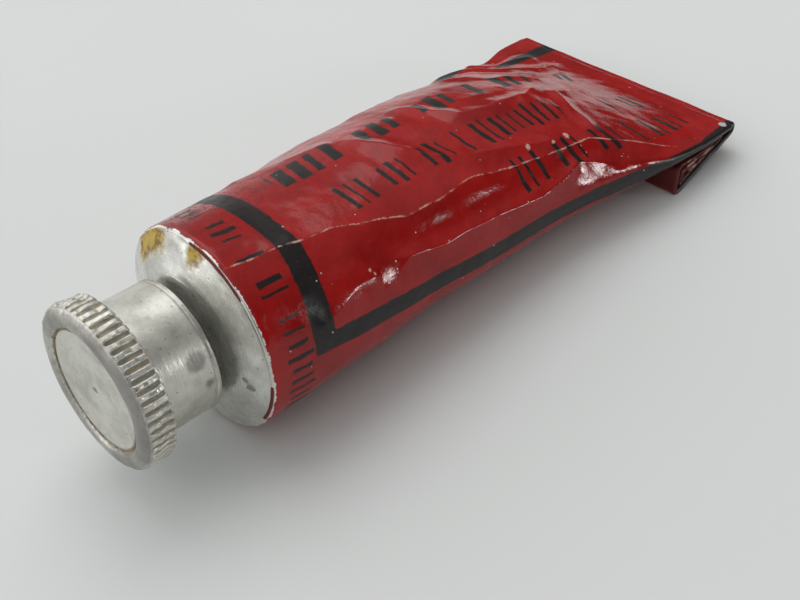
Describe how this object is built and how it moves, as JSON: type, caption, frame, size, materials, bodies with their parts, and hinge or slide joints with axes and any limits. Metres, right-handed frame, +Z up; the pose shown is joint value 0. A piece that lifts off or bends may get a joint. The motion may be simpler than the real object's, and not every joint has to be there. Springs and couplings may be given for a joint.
{
  "type": "collapsible tube",
  "caption": "Small collapsible metal tube with printed red sleeve, rolled-up flat tail and knurled screw cap, lying on its side.",
  "frame": {"origin": "bottom centre of the bounding box, on the surface the tube lies on", "axes": "+X towards the cap (the tube's own axis leans up from +X by 6.9 degrees, towards +Z), +Z up, +Y to the side"},
  "size_m": [0.073, 0.0296, 0.0189],
  "materials": {
    "bare_aluminium": "satin, stained",
    "red_lacquer": "glossy red lacquer with black print, creased",
    "paste": "soft paste, dried",
    "cap_sheet": "worn, dull",
    "insert": "plain",
    "seal": "waxed card"
  },
  "bodies": {
    "tube": {"nozzle": "bare_aluminium", "shoulder": "bare_aluminium", "sleeve": "red_lacquer", "tail_roll": "red_lacquer", "paste": "paste"},
    "seal": {"cap_seal_disc": "seal"},
    "cap": {"cap_shell": "cap_sheet", "cap_top_disc": "cap_sheet", "cap_thread_insert": "insert"}
  },
  "joints": [
    {"name": "cap_lift", "type": "slide", "parent": "tube", "child": "seal", "axis": [0.9928, 0, 0.1195], "range_m": [0, 0.009]},
    {"name": "cap_turn", "type": "hinge", "parent": "seal", "child": "cap", "pos_m": [0.03054, 0, 0.01015], "axis": [0.9928, 0, 0.1195], "range_deg": [0, 2160]}
  ],
  "couplings": [
    {"joint": "cap_turn", "follows": "cap_lift", "rad_per_m": 4188.8}
  ]
}
